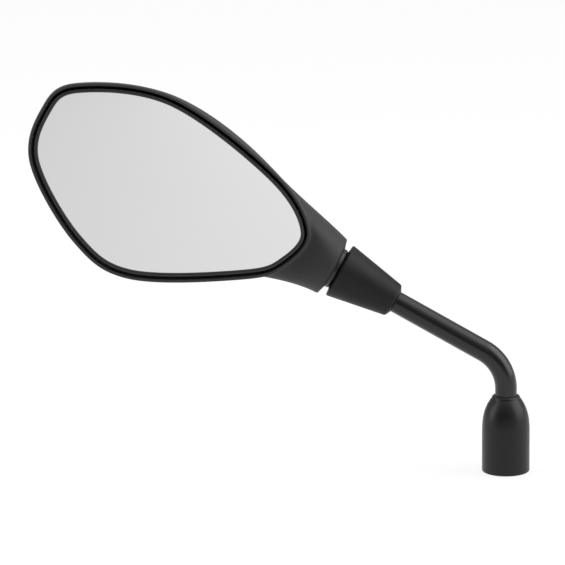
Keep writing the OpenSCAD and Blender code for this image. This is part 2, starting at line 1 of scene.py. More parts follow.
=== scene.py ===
import bpy
import numpy as np
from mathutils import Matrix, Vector


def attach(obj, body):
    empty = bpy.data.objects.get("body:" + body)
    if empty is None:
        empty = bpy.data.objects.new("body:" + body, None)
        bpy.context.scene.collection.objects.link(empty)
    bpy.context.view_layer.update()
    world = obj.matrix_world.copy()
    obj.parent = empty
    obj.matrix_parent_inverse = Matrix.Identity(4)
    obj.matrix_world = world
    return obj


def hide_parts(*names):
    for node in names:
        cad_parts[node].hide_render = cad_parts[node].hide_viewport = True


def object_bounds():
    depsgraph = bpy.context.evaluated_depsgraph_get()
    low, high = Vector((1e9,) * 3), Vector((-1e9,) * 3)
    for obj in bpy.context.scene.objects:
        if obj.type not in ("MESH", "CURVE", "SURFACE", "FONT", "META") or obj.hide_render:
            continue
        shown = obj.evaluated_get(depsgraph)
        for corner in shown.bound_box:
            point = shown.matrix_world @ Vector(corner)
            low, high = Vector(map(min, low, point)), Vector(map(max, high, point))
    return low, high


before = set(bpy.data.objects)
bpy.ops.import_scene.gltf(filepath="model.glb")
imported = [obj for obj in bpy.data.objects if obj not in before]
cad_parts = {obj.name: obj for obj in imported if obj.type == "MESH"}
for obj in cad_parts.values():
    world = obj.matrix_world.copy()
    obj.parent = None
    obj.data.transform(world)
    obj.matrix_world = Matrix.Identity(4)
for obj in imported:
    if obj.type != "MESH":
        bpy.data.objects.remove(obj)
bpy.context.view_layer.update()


# ---- Stem rod ----
# One 12 mm steel rod, bent once, turned down to an M10 stud at its foot and tapped at its far end.
# A 0.2 mm coat of semi-gloss black powder covers it; on the rolled stud thread it is thin.

MM = 0.001


def linear_colour(text):
    """sRGB hex to linear RGBA: a share c up to 0.04045 becomes c / 12.92, one above it
    ((c + 0.055) / 1.055) ^ 2.4."""
    share = np.array([int(text[i:i + 2], 16) for i in (1, 3, 5)]) / 255
    linear = np.where(share <= 0.04045, share / 12.92, ((share + 0.055) / 1.055) ** 2.4)
    return [float(c) for c in linear] + [1.0]


def add_node(tree, kind, values=None, links=None, **settings):
    """One shader node with its settings, its constant inputs and the sockets that feed it."""
    node = tree.nodes.new(kind)
    for key, value in settings.items():
        setattr(node, key, value)
    for key, value in (values or {}).items():
        node.inputs[key].default_value = value
    for key, source in (links or {}).items():
        tree.links.new(source, node.inputs[key])
    return node


def surface_finish(name, colour, worn, roughness, grain, depth, patch=9.0, spread=0.08, **sockets):
    """A finish whose colour drifts between two tones in soft patches and whose skin has a fine grain.

    grain and patch are the sizes in millimetres of one bump and of one patch, so a noise holds 1000 / size of
    them in a metre. depth is the grain's height in millimetres. Roughness drifts by spread up and down with
    the patches, over the middle of the noise's range."""
    finish = bpy.data.materials.new(name)
    finish.use_nodes = True
    tree = finish.node_tree
    tree.nodes.clear()
    place = add_node(tree, "ShaderNodeTexCoord").outputs["Object"]
    drift = add_node(tree, "ShaderNodeTexNoise", {"Scale": 1000 / patch, "Detail": 3.0, "Roughness": 0.55},
                     {"Vector": place})
    fine = add_node(tree, "ShaderNodeTexNoise", {"Scale": 1000 / grain, "Detail": 2.0, "Roughness": 0.6},
                    {"Vector": place})
    tone = add_node(tree, "ShaderNodeMix", {6: linear_colour(colour), 7: linear_colour(worn)},
                    {0: drift.outputs["Fac"]}, data_type="RGBA")
    gloss = add_node(tree, "ShaderNodeMapRange",
                     {"From Min": 0.3, "From Max": 0.7, "To Min": roughness - spread, "To Max": roughness + spread},
                     {"Value": drift.outputs["Fac"]})
    relief = add_node(tree, "ShaderNodeBump", {"Strength": 1.0, "Distance": depth * MM},
                      {"Height": fine.outputs["Fac"]})
    shader = add_node(tree, "ShaderNodeBsdfPrincipled", sockets,
                      {"Base Color": tone.outputs[2], "Roughness": gloss.outputs["Result"],
                       "Normal": relief.outputs["Normal"]})
    add_node(tree, "ShaderNodeOutputMaterial", None, {"Surface": shader.outputs["BSDF"]})
    return finish


def piece_of_rings(name, rings, joined, finish, body, crease=38):
    """Mesh through a stack of rings, given in millimetres as an array of rows, columns and x y z.

    Neighbouring rows and columns are joined by quads and the columns wrap round. A joined stack closes its
    last ring onto its first; any other ends in a point at the middle of each end ring. The sign of the
    enclosed volume, a sixth of the sum of a . (b x c) over its triangles, says which way the faces point.
    Edges that turn by more than crease degrees stay sharp."""
    rows, cols = rings.shape[:2]
    k, j = np.meshgrid(np.arange(rows if joined else rows - 1), np.arange(cols), indexing="ij")
    over, beside = (k + 1) % rows, (j + 1) % cols
    quads = np.stack([k * cols + j, k * cols + beside, over * cols + beside, over * cols + j], -1)
    quads = quads.reshape(-1, 4)
    points = rings.reshape(-1, 3)
    fans = np.zeros((0, 3), int)
    if not joined:
        points = np.vstack([points, rings[0].mean(0), rings[-1].mean(0)])
        here, there = np.arange(cols), (np.arange(cols) + 1) % cols
        low, high = np.full(cols, rows * cols), np.full(cols, rows * cols + 1)
        last = (rows - 1) * cols
        fans = np.vstack([np.stack([there, here, low], 1), np.stack([here + last, there + last, high], 1)])
    corners = points[np.vstack([quads[:, :3], quads[:, [0, 2, 3]], fans])] - points.mean(0)
    if np.einsum("ij,ij->", corners[:, 0], np.cross(corners[:, 1], corners[:, 2])) < 0:
        quads, fans = quads[:, ::-1], fans[:, ::-1]
    mesh = bpy.data.meshes.new(name)
    mesh.from_pydata((points * MM).tolist(), [], quads.tolist() + fans.tolist())
    mesh.materials.append(finish)
    mesh.shade_smooth()
    mesh.set_sharp_from_angle(angle=np.radians(crease))
    piece = bpy.data.objects.new(name, mesh)
    bpy.context.scene.collection.objects.link(piece)
    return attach(piece, body)


def softened(outline, cuts, steps=6):
    """Outline with its corners rounded: a corner with cut c becomes the parabola that leaves the outline
    c before the corner and meets it again c after it. A cut of 0 keeps the corner sharp."""
    outline = np.array(outline, float)
    t = np.linspace(0, 1, steps + 1)[:, None]
    parts = []
    for before, corner, after, cut in zip(np.roll(outline, 1, 0), outline, np.roll(outline, -1, 0), cuts):
        start = corner + cut * (before - corner) / np.linalg.norm(before - corner)
        end = corner + cut * (after - corner) / np.linalg.norm(after - corner)
        parts.append((1 - t) ** 2 * start + 2 * t * (1 - t) * corner + t * t * end if cut else corner[None])
    return np.vstack(parts)


# The arm is the line of the sloping leg; places along it are counted from the ball's centre.
arm_rise, arm_turn = np.radians(28.8), np.radians(5.5)
upward = np.array([0.0, 0.0, 1.0])
arm_level = np.array([-np.cos(arm_turn), np.sin(arm_turn), 0.0])
arm = np.cos(arm_rise) * arm_level + np.sin(arm_rise) * upward
arm_up = np.cos(arm_rise) * upward - np.sin(arm_rise) * arm_level
arm_back = np.array([np.sin(arm_turn), np.cos(arm_turn), 0.0])
corner_h, arm_len, bend_r, rod_r = 41.0, 122.5, 25.0, 6.2
ball_at = corner_h * upward + arm_len * arm
stud_low, shoulder, shoulder_cut, undercut = -21.0, 9.6, 0.7, 0.3
rod_end, end_chamfer, bore_end, bore_r = -27.0, 0.6, -39.3, 4.03
thread_r, thread_depth, thread_pitch, thread_flank, thread_flat = 5.0, 0.62, 1.25, 1.25, 0.12
relief_r, relief_half, relief_gap = 4.3, 0.5, 0.1
tip_rise, tip_r = np.array([0.0, 0.35, 1.0]), np.array([3.9, 4.2])
rod_columns, bend_rows, leg_rows, slope_rows = 64, 48, 8, 23


def swept_rod():
    """Rings along the rod's centre line: up the stud, round the bend, up the sloping leg, into the tapped bore.

    The centre line is a straight, an arc of bend_r and a straight. Each ring is centre + r (cos t u + sin t v),
    v staying square to the plane of the bend. On the stud r falls from the crest by thread_depth times a
    triangle wave of height / pitch - t / turn, cut flat at crest and root and faded out over the last turn at
    either end and beside the relief groove."""
    turn = np.linspace(0, 2 * np.pi, rod_columns, endpoint=False)
    bend = np.pi / 2 - arm_rise
    tangent = bend_r * np.tan(bend / 2)
    step, thread_low, thread_high = thread_pitch / 10, stud_low + tip_rise[-1], shoulder - undercut
    stud_z = np.concatenate([stud_low + tip_rise,
                             np.arange(thread_low + 0.1, -relief_half - relief_gap, step),
                             [-relief_half, relief_half],
                             np.arange(relief_half + relief_gap, thread_high - 0.1, step)])
    wave = np.abs(((stud_z[:, None] / thread_pitch - turn / (2 * np.pi)) % 1) * 2 - 1)
    cut = thread_depth * np.clip(wave * thread_flank - thread_flat, 0, 1)
    ends = np.minimum.reduce([stud_z - thread_low, np.abs(stud_z) - relief_half, thread_high - stud_z])
    stud = thread_r - cut * np.clip(ends / thread_pitch, 0, 1)[:, None]
    stud[:2] = tip_r[:, None]
    stud[np.abs(stud_z) < relief_half + relief_gap / 2] = relief_r
    leg_z = np.concatenate([[thread_high, shoulder, shoulder, shoulder + 0.5],
                            np.linspace(shoulder + 1, corner_h - tangent, leg_rows)])
    leg_r = np.full(len(leg_z), rod_r)
    leg_r[:3] = [thread_r - 0.1, thread_r - 0.1, rod_r - shoulder_cut]
    angle = np.linspace(0, bend, bend_rows + 1)[1:]
    out = np.sin(angle)[:, None] * upward - np.cos(angle)[:, None] * arm_level
    middle = (corner_h - tangent) * upward + bend_r * arm_level
    slope_a = np.linspace(tangent - arm_len, rod_end - end_chamfer, slope_rows + 1)[1:]
    slope_a = np.concatenate([slope_a, [rod_end, rod_end, bore_end]])
    slope_r = np.full(len(slope_a), rod_r)
    slope_r[-3:] = [rod_r - end_chamfer, bore_r, bore_r]
    upright = np.concatenate([stud_z, leg_z])
    centre = np.vstack([upright[:, None] * upward, middle + bend_r * out, ball_at + slope_a[:, None] * arm])
    u = np.vstack([np.tile(-arm_level, (len(upright), 1)), out, np.tile(arm_up, (len(slope_a), 1))])
    radius = np.vstack([stud, np.tile(leg_r[:, None], rod_columns), np.full((bend_rows, rod_columns), rod_r),
                        np.tile(slope_r[:, None], rod_columns)])
    across = np.cos(turn)[None, :, None] * u[:, None] + np.sin(turn)[None, :, None] * arm_back
    return centre[:, None] + radius[..., None] * across


# Powder coat flows out to a deep, nearly even black with a soft-edged gloss; its orange peel is 1.4 mm wide.
painted_steel = surface_finish("semi_gloss_black_painted_steel", "#09090a", "#0d0d0f", 0.27, 1.4, 0.012,
                               patch=14.0, spread=0.03,
                               **{"Specular IOR Level": 0.4, "Coat Weight": 0.2, "Coat Roughness": 0.2})
stem = piece_of_rings("stem_rod_painted", swept_rod(), False, painted_steel, "stem")
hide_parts("stem_rod")


# ---- Lock nut and washer ----
# A plain hexagon nut with both faces chamfered, and a flat washer under it, both zinc plated steel.
# The nut locks the stud in the handlebar clamp; the boot covers both.

nut_across, nut_low, nut_h, nut_bore_r, nut_bore_cut = 17.0, 1.6, 6.0, 5.05, 0.5
nut_face_cut, nut_cone_slope, nut_columns = 0.3, 1.9, 144
washer_r, washer_t, washer_bore_r = 9.8, 1.55, 5.3


def around_stud(profile, columns=96):
    """A profile of radius and height turned about the stud: (r cos t, r sin t, h)."""
    turn = np.linspace(0, 2 * np.pi, columns, endpoint=False)
    r, h = profile[:, 0, None], profile[:, 1, None]
    return np.stack([r * np.cos(turn), r * np.sin(turn), h + 0 * turn], -1)


def nut_rings():
    """Hexagon cut by two chamfer cones: r is the smaller of the hexagon's own radius, half the width across
    the flats over cos of the angle from the flat's middle, and a cone that widens by nut_cone_slope mm for
    each mm in from the nearer face. The bore is straight, with a 45 degree chamfer at both ends."""
    turn = np.linspace(0, 2 * np.pi, nut_columns, endpoint=False)
    flat = nut_across / 2 / np.cos((turn + np.pi / 6) % (np.pi / 3) - np.pi / 6)
    rise = np.concatenate([[0.0], np.linspace(0.1, 0.7, 6), np.linspace(1.2, nut_h - 1.2, 5)])
    rise = np.unique(np.round(np.concatenate([rise, nut_h - rise]), 6))
    cone = nut_across / 2 - nut_face_cut + nut_cone_slope * np.minimum(rise, nut_h - rise)
    outer = np.minimum(flat[None], cone[:, None])
    bore = nut_bore_r + nut_bore_cut * np.array([1.0, 0.0, 0.0, 1.0])
    height = np.concatenate([rise, [nut_h, nut_h - nut_bore_cut, nut_bore_cut, 0.0]]) + nut_low
    r = np.vstack([outer, np.tile(bore[:, None], nut_columns)])
    return np.stack([r * np.cos(turn), r * np.sin(turn), np.tile(height[:, None], nut_columns)], -1)


# Bright zinc is a cool pale metal with a slightly cloudy gloss.
zinc_steel = surface_finish("bright_zinc_plated_steel", "#a9adb2", "#9a9ea6", 0.32, 0.8, 0.004,
                            patch=5.0, spread=0.07, Metallic=1.0)
nut = piece_of_rings("lock_nut_plated", nut_rings(), True, zinc_steel, "nut")
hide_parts("lock_nut")
washer_outline = softened([[washer_bore_r, 0], [washer_r, 0], [washer_r, washer_t], [washer_bore_r, washer_t]],
                          [0.15, 0.3, 0.5, 0.15], 4)
washer = piece_of_rings("nut_washer_plated", around_stud(washer_outline), True, zinc_steel, "washer")
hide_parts("nut_washer")


# ---- Rubber boot ----
# A bell-shaped cover moulded in black rubber, slipped down the rod over the nut.
# Its collar grips the rod, and its mouth and top edge are rounded.

boot_r, boot_low, boot_h, boot_wall, boot_dome, boot_grip = 13.5, -22.0, 44.5, 2.0, 22.0, 6.0
boot_top_r, boot_bore_r, dome_power = 8.05, 6.25, 2.8
mouth_round, mouth_inside, top_round, top_drop = 0.9, 0.5, 1.6, 1.5


def bell_profile():
    """Outside: straight wall, then r = R - (R - top) u^2.8 over the dome. Inside: the same curve less the wall,
    then the collar that grips the rod. Mouth and top edge are arcs: middle + radius (cos t, sin t)."""
    high = boot_low + boot_h
    start = high - boot_dome
    u = np.linspace(0, 1, 40)
    outer = np.stack([boot_r - (boot_r - boot_top_r) * u ** dome_power, start + (boot_dome - top_drop) * u], 1)
    turn = np.radians(np.linspace(-90, 0, 10))
    mouth = [boot_r - mouth_round, boot_low + mouth_round] + mouth_round * np.stack([np.cos(turn), np.sin(turn)], 1)
    tip = np.radians(np.linspace(15, 90, 10))
    top = [boot_top_r - top_round, high - top_round] + top_round * np.stack([np.cos(tip), np.sin(tip)], 1)
    v = np.linspace(1 - boot_grip / boot_dome, 0, 24)
    inner = np.stack([boot_r - (boot_r - boot_top_r) * v ** dome_power - boot_wall, start + boot_dome * v], 1)
    inside_edge = [[boot_r - boot_wall, boot_low + mouth_inside], [boot_r - boot_wall + mouth_inside, boot_low]]
    collar = [[boot_bore_r + 0.1, high - 0.05], [boot_bore_r, high - 0.2], [boot_bore_r, high - boot_grip]]
    return np.vstack([inside_edge, mouth, outer, top, collar, inner])


# Rubber gives a slightly warm black with soft broad highlights and a skin that the mould leaves uneven.
boot_rubber = surface_finish("moulded_black_rubber", "#080707", "#0c0b0b", 0.38, 1.0, 0.02,
                             patch=12.0, spread=0.05, **{"Specular IOR Level": 0.34, "IOR": 1.52})
boot = piece_of_rings("rubber_boot_moulded", around_stud(bell_profile(), 128), True, boot_rubber, "boot")
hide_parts("rubber_boot")


# ---- Ball stud and its spring washer ----
# Turned steel in one piece: ground ball, shank, hexagon and threaded tail, screwed into the rod's end.
# The spring washer under the hexagon keeps the joint tight; both are hidden by the cone cover.


def dress(node, finish):
    """Gives a CAD node that stays in view its real finish."""
    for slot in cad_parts[node].material_slots:
        slot.material = finish


# Bare turned and ground steel is a bright neutral grey with fine feed marks.
ground_steel = surface_finish("turned_and_ground_steel", "#b7babd", "#a9acb0", 0.24, 0.6, 0.003,
                              patch=4.0, spread=0.06, Metallic=1.0)
dress("ball_stud", ground_steel)
# Phosphating leaves spring steel a dull dark grey, a little crystalline.
phosphated_steel = surface_finish("phosphated_spring_steel", "#5b5d60", "#4c4e51", 0.5, 0.5, 0.006,
                                  patch=3.0, Metallic=1.0)
dress("stud_lock_washer", phosphated_steel)


# ---- Cone cover ----
# Injection-moulded black polyamide cone on the end of the rod, hiding the stud's hexagon.
# An inner web stops it on the rod's end; its mouth holds the seal ring, and all its rims are rounded.

cover_r, cover_tip_r, cover_end, cover_tip, cover_bevel = 16.1, 9.9, -14.4, -49.2, 1.8
cover_bore_r, tail_r, hexagon_room_r, web_high = 6.23, 4.2, 10.4, -24.5
seal_seat_r, seal_back = 12.15, -19.0


def around_arm(profile, columns=128):
    """A profile of radius and place along the arm turned about it: ball centre + a arm + r (cos t up + sin t
    back)."""
    turn = np.linspace(0, 2 * np.pi, columns, endpoint=False)[None, :, None]
    r, a = profile[:, 0, None, None], profile[:, 1, None, None]
    return ball_at + a * arm + r * (np.cos(turn) * arm_up + np.sin(turn) * arm_back)


cover_outline = softened(
    [[cover_bore_r, rod_end], [cover_bore_r, cover_tip - cover_bevel], [cover_tip_r - 0.5, cover_tip - 0.2],
     [cover_tip_r, cover_tip + 0.6], [cover_r, cover_end], [seal_seat_r, cover_end], [seal_seat_r, seal_back],
     [hexagon_room_r, seal_back], [hexagon_room_r, web_high], [tail_r, web_high], [tail_r, rod_end]],
    [0, 0.25, 0.35, 0.4, 1.1, 0.4, 0.1, 0.1, 0.3, 0.1, 0.1], 8)
# A sparked mould leaves polyamide satin and a little warm; the real grain is finer than the 0.9 mm drawn.
sparked_nylon = surface_finish("sparked_black_polyamide", "#161617", "#1a191b", 0.5, 0.9, 0.018,
                               patch=10.0, spread=0.05, **{"Specular IOR Level": 0.2, "IOR": 1.53})
cover = piece_of_rings("cone_cover_moulded", around_arm(cover_outline), True, sparked_nylon, "stem")
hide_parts("cone_cover")


# ---- Seal ring ----
# A ring of soft black foam rubber in the cover's mouth, hollowed to the round of the socket's nose.
# It shows as the narrow black band next to the cover's rim.

seal_hollow_r, seal_out_r, seal_bore_r = 18.37, 12.0, 5.1


def seal_profile():
    """Flat back and straight sides, with the front hollowed to a sphere round the ball's centre: r^2 + a^2 = R^2."""
    side = np.linspace(np.arcsin(seal_out_r / seal_hollow_r), np.arcsin(seal_bore_r / seal_hollow_r), 24)
    hollow = seal_hollow_r * np.stack([np.sin(side), -np.cos(side)], 1)
    return np.vstack([[[seal_bore_r, seal_back], [seal_out_r, seal_back]], hollow])


# Open foam swallows light, so this is the darkest thing on the mirror.
foam_rubber = surface_finish("soft_black_foam_rubber", "#0b0b0b", "#101010", 0.85, 0.7, 0.05, patch=3.0)
seal = piece_of_rings("seal_ring_foam", around_arm(seal_profile()), True, foam_rubber, "stem")
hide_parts("seal_ring")


# ---- Cups, socket, cap, spring and clamp plate ----
# Die-cast socket painted with the housing, whose nose shows as a narrow collar under the neck.
# Inside it: two acetal cups round the ball, a pressed cap, a coil spring and a plated clamp plate.

socket_r, socket_step, socket_top = 14.2, -7.95, 13.0
nose_r, nose_round_r, nose_rim_r, nose_bore_r, nose_bore_end = 12.0, 17.62, 9.68, 9.3, -12.9
ball_seat_r, ball_seat_end, cap_bore_r, cap_bore_end = 11.0, -7.07, 11.2, 0.6


def socket_profile():
    """Outside the nose, rounded on r^2 + a^2 = R^2, and the barrel; inside a cone, the ball's seat as an arc
    about the ball's centre and the straight cap bore."""
    turn = np.radians(np.linspace(85, 40, 20))
    seat = ball_seat_r * np.stack([np.sin(turn), -np.cos(turn)], 1)[::-1]
    seat = seat[seat[:, 1] > ball_seat_end]
    side = np.linspace(np.arcsin(nose_rim_r / nose_round_r), np.arcsin(nose_r / nose_round_r), 10)
    nose = nose_round_r * np.stack([np.sin(side), -np.cos(side)], 1)
    barrel = softened([[nose_r, socket_step], [socket_r, socket_step], [socket_r, socket_top],
                       [cap_bore_r, socket_top], [cap_bore_r, cap_bore_end]], [0, 0.2, 0.4, 0.3, 0], 6)
    return np.vstack([[[nose_bore_r, nose_bore_end]], nose, barrel, seat[::-1]])


# Sprayed zinc casting: smoother and a shade glossier than the moulded housing beside it.
die_cast = surface_finish("black_painted_die_cast_zinc", "#1c1c1e", "#212123", 0.38, 0.8, 0.012,
                          patch=6.0, spread=0.05, **{"Coat Weight": 0.2, "Coat Roughness": 0.3})
socket = piece_of_rings("joint_socket_painted", around_arm(socket_profile()), True, die_cast, "head")
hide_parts("joint_socket")
# Undyed acetal is a milky white that light enters a little.
acetal = surface_finish("natural_white_acetal", "#dedacb", "#d3cfbf", 0.34, 0.9, 0.006, patch=5.0,
                        **{"IOR": 1.48, "Subsurface Weight": 0.05, "Subsurface Scale": 0.002})
dress("lower_cup", acetal)
dress("upper_cup", acetal)
dress("pressure_cap", phosphated_steel)
# Cold-drawn wire is bright and shows only faint draw marks.
spring_steel = surface_finish("bright_drawn_spring_wire", "#bfc2c6", "#aeb2b7", 0.28, 0.5, 0.004,
                              patch=2.5, Metallic=1.0)
dress("joint_spring", spring_steel)
for node in ("clamp_plate", "clamp_screw_upper", "clamp_screw_lower"):
    dress(node, zinc_steel)


# ---- Housing ----
# The mirror's back and neck, one injection moulding in black ASA with a fine matt texture all over.
# Its skin leaves the rim backwards and sweeps into a round neck; the rim ends in a thin rounded lip.

rim_w, rim_h, rim_right, rim_bottom, rim_front = 159.0, 116.2, -3.9, -9.0, 23.0
wall, lip_t, band_start, band_h, glass_r = 2.3, 1.7, 1.6, 3.0, 1300.0
neck_r, neck_end, neck_bulge, neck_round, housing_floor = 17.5, -10.0, 1.2, 1.2, -5.0
nose_room_r, nose_room_cut, socket_room_r, socket_room_cut, socket_ledge = 12.03, 0.22, 14.25, 0.25, -8.0
rim_knots = np.array([[100, 25.2], [87.9, 54.7], [51.5, 93.1], [16.8, 99.4], [4.4, 85.9],
                      [0.6, 59.4], [16, 20.2], [35.7, 1.8], [75.6, 1.4], [91.1, 7.6]]) / 100
rim_knots = [rim_right - rim_w, rim_bottom] + rim_knots * [rim_w, rim_h]
rim_mid = np.array([rim_right - 0.52 * rim_w, rim_bottom + 0.5 * rim_h])


def rim_curve(per_span=32):
    """Closed curve through the knots: on each span the cubic whose end slopes are half the chord between
    the neighbours, 0.5 (2q + (r - p) t + (2p - 5q + 4r - s) t^2 + (3q - p - 3r + s) t^3)."""
    p, q, r, s = (np.roll(rim_knots, shift, 0)[:, None] for shift in (1, 0, -1, -2))
    t = (np.arange(per_span) / per_span)[None, :, None]
    curve = 0.5 * (2 * q + (r - p) * t + (2 * p - 5 * q + 4 * r - s) * t ** 2 + (3 * q - p - 3 * r + s) * t ** 3)
    return curve.reshape(-1, 2)


rim_line = rim_curve()
rim_n = len(rim_line)
rim_along = np.roll(rim_line, -1, 0) - np.roll(rim_line, 1, 0)
rim_inward = np.stack([-rim_along[:, 1], rim_along[:, 0]], 1) / np.linalg.norm(rim_along, axis=1)[:, None]


def rim_ring(inset, depth, share=1.0):
    """Ring in the rim: the outline moved inwards by inset and drawn to its middle by share, then laid
    depth behind a sphere of glass_r that touches the rim's plane at its middle: sag = distance^2 / 2 R."""
    p = rim_mid + share * (rim_line + inset * rim_inward - rim_mid)
    sag = ((p - rim_mid) ** 2).sum(1) / (2 * glass_r)
    return np.stack([p[:, 0], depth - rim_front + sag, p[:, 1]], 1)


neck_start = np.radians(21.6)
neck_angle = 2 * np.pi * np.arange(rim_n) / rim_n + neck_start
neck_out = np.sin(neck_angle)[:, None] * arm_up - np.cos(neck_angle)[:, None] * arm_back


def neck_ring(r, a):
    """Circle of radius r round the arm, a along it from the ball's centre."""
    return a * arm + r * neck_out


draft, shoulder_draft_less, shoulder_at, shoulder_power = 20, 22, np.radians(75), 8
flare, flare_swing = 9, 8
rim_pull, neck_pull = 0.24, 0.3


def skin(s, shift=0):
    """Skin of the housing: from the rim (s 0) to the neck (s 1) each line is a cubic Bezier curve.

    It leaves the rim backwards, leaning in by the draft, and meets the neck along the arm, leaning out by the
    flare. The draft is less on the shoulder above the neck, and the flare is more on top. The two handles are
    rim_pull and neck_pull of the chord long. shift takes the neighbouring lines instead."""
    start, end = rim_ring(0, band_h), neck_ring(neck_r, neck_end + neck_round)
    chord = np.linalg.norm(end - start, axis=1)[:, None]
    on_shoulder = np.clip(np.cos(neck_angle - shoulder_at), 0, 1) ** shoulder_power
    lean = np.radians(draft - shoulder_draft_less * on_shoulder)[:, None]
    lean_out = np.radians(flare + flare_swing * np.sin(neck_angle))[:, None]
    inward = np.stack([rim_inward[:, 0], 0 * rim_inward[:, 0], rim_inward[:, 1]], 1)
    near = start + rim_pull * chord * (np.sin(lean) * inward + np.cos(lean) * [0, 1, 0])
    far = end + neck_pull * chord * (np.cos(lean_out) * arm + np.sin(lean_out) * neck_out)
    a, b, c, d = (np.roll(p, shift, 0) for p in (start, near, far, end))
    s = s[..., None]
    return (1 - s) ** 3 * a + 3 * s * (1 - s) ** 2 * b + 3 * s * s * (1 - s) * c + s ** 3 * d


def under_skin(s, depth):
    """Point of the skin moved depth inwards, square to the skin's two directions."""
    normal = np.cross(skin(s, -1) - skin(s, 1), skin(s + 0.01) - skin(s - 0.01))
    return skin(s) + depth * normal / np.linalg.norm(normal, axis=-1)[..., None]


def inner_wall(rows=36, behind_band=1.5):
    """Inside of the wall, from behind_band mm behind the rim's band down to the floor's level along the arm.

    Near the rim a line runs at 3 rim_pull chord mm per unit of its share. The share at which it passes the
    floor's level is found by halving, for all lines at once."""
    low, high = np.zeros(rim_n), np.ones(rim_n)
    for _ in range(16):
        middle = (low + high) / 2
        above = under_skin(middle, wall) @ arm > housing_floor
        low, high = np.where(above, middle, low), np.where(above, high, middle)
    chord = np.linalg.norm(skin(np.ones(rim_n)) - skin(np.zeros(rim_n)), axis=1)
    first = behind_band / (3 * rim_pull * chord)
    return under_skin(first + (low - first) * np.linspace(0, 1, rows)[:, None], wall)


def housing_rings():
    """Closed stack: nose bore, neck's end face, skin to the rim, rounded lip, inner wall, floor, socket bore.
    The neck's edge is a part circle of neck_round, and the lip half an ellipse, lip_t wide and half as deep."""
    nose_room = [neck_ring(nose_room_r, socket_ledge), neck_ring(nose_room_r, neck_end - neck_bulge + 0.15),
                 neck_ring(nose_room_r + nose_room_cut, neck_end - neck_bulge)]
    edge = [neck_ring(neck_r - neck_round + neck_round * np.cos(t), neck_end + neck_round + neck_round * np.sin(t))
            for t in np.radians(np.linspace(-90, -25, 8))]
    outside = skin(np.tile(np.linspace(1, 0, 64)[:, None], rim_n))
    lip = [rim_ring(lip_t / 2 + lip_t / 2 * np.cos(t), lip_t / 2 - lip_t / 2 * np.sin(t))
           for t in np.radians(np.linspace(180, 0, 13))]
    band = [rim_ring(lip_t + 0.05, 1.8), rim_ring(lip_t + 0.15, band_h)]
    socket_room = [neck_ring(socket_room_r + socket_room_cut, housing_floor),
                   neck_ring(socket_room_r, housing_floor - 0.2), neck_ring(socket_room_r, socket_ledge)]
    rings = nose_room + edge + list(outside) + [rim_ring(0, band_start)] + lip + band
    return ball_at + np.array(rings + list(inner_wall()) + socket_room)


# Textured ASA is an even charcoal that stays matt from every side; the real grain is about 0.2 mm wide and is
# drawn 1.1 mm wide to show.
textured_asa = surface_finish("fine_textured_black_asa", "#272729", "#2b2b2d", 0.58, 1.1, 0.05,
                              patch=16.0, spread=0.05,
                              **{"IOR": 1.52, "Specular IOR Level": 0.36, "Sheen Weight": 0.04,
                                 "Sheen Roughness": 0.4})
housing = piece_of_rings("housing_shell", housing_rings(), True, textured_asa, "head")
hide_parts("housing")


# ---- Glass carrier and its screws ----
# A tray moulded in black ABS that holds the glass by a narrow smooth bezel, four screws through its floor.
# Between it and the housing's lip lies an open groove, which stays in shadow.

carrier_out, bezel_w, bezel_back, bezel_h, pocket_under = 3.3, 2.2, 0.5, 0.7, 0.9
glass_front, glass_t, floor_front, floor_back = 1.5, 2.0, 4.3, 5.8
bezel_in, pocket = carrier_out + bezel_w, carrier_out + bezel_w - pocket_under


def carrier_rings():
    """Open stack from the middle of the tray's back, round its edge and over the bezel, to the middle of its
    front. The bezel's crown is rounded: inset and depth follow an arc from its outer to its inner edge."""
    shares = (0.02, 0.3, 0.6, 0.9)
    crown = [rim_ring(carrier_out + bezel_w / 2 + bezel_w / 2 * np.cos(t), bezel_back + bezel_h - bezel_h * np.sin(t))
             for t in np.radians(np.linspace(180, 20, 12))]
    back = [rim_ring(bezel_in, floor_back, share) for share in shares]
    edge = [rim_ring(carrier_out + 1.3, floor_back), rim_ring(carrier_out + 0.3, floor_back - 0.9),
            rim_ring(carrier_out, floor_back - 1.8), rim_ring(carrier_out, bezel_back + bezel_h + 0.4)]
    inside = [rim_ring(bezel_in, glass_front - 0.3), rim_ring(bezel_in - 0.1, glass_front - 0.05),
              rim_ring(pocket, glass_front - 0.05), rim_ring(pocket, floor_front)]
    front = [rim_ring(pocket, floor_front, share) for share in shares[::-1]]
    return ball_at + np.array(back + edge + crown + inside + front)


# Smooth ABS is a satin black with a clean, narrow highlight along the bezel.
smooth_abs = surface_finish("satin_black_abs", "#111112", "#151516", 0.4, 1.0, 0.01, patch=12.0, spread=0.04,
                            **{"IOR": 1.54})
carrier = piece_of_rings("glass_carrier_moulded", carrier_rings(), False, smooth_abs, "head")
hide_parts("glass_carrier")
for number in (1, 2, 3, 4):
    dress("carrier_screw_" + str(number), zinc_steel)


# ---- Mirror glass and its pad ----
# Convex float glass, 2 mm thick, chromed on its face, its edge ground with a small bevel on both sides.
# A foam pad sticks it to the tray.

glass_inset, glass_bevel = bezel_in - 0.8, 0.25


def glass_rings():
    """Open stack from the middle of the back, out to the ground edge with its two bevels, to the middle of the
    front; every ring lies on the glass's sphere."""
    shares = np.concatenate([[0.01], np.linspace(0.08, 1, 22)])
    back = [rim_ring(glass_inset + glass_bevel, glass_front + glass_t, share) for share in shares]
    edge = [rim_ring(glass_inset, glass_front + glass_t - glass_bevel),
            rim_ring(glass_inset, glass_front + glass_bevel)]
    front = [rim_ring(glass_inset + glass_bevel, glass_front, share) for share in shares[::-1]]
    return ball_at + np.array(back + edge + front)


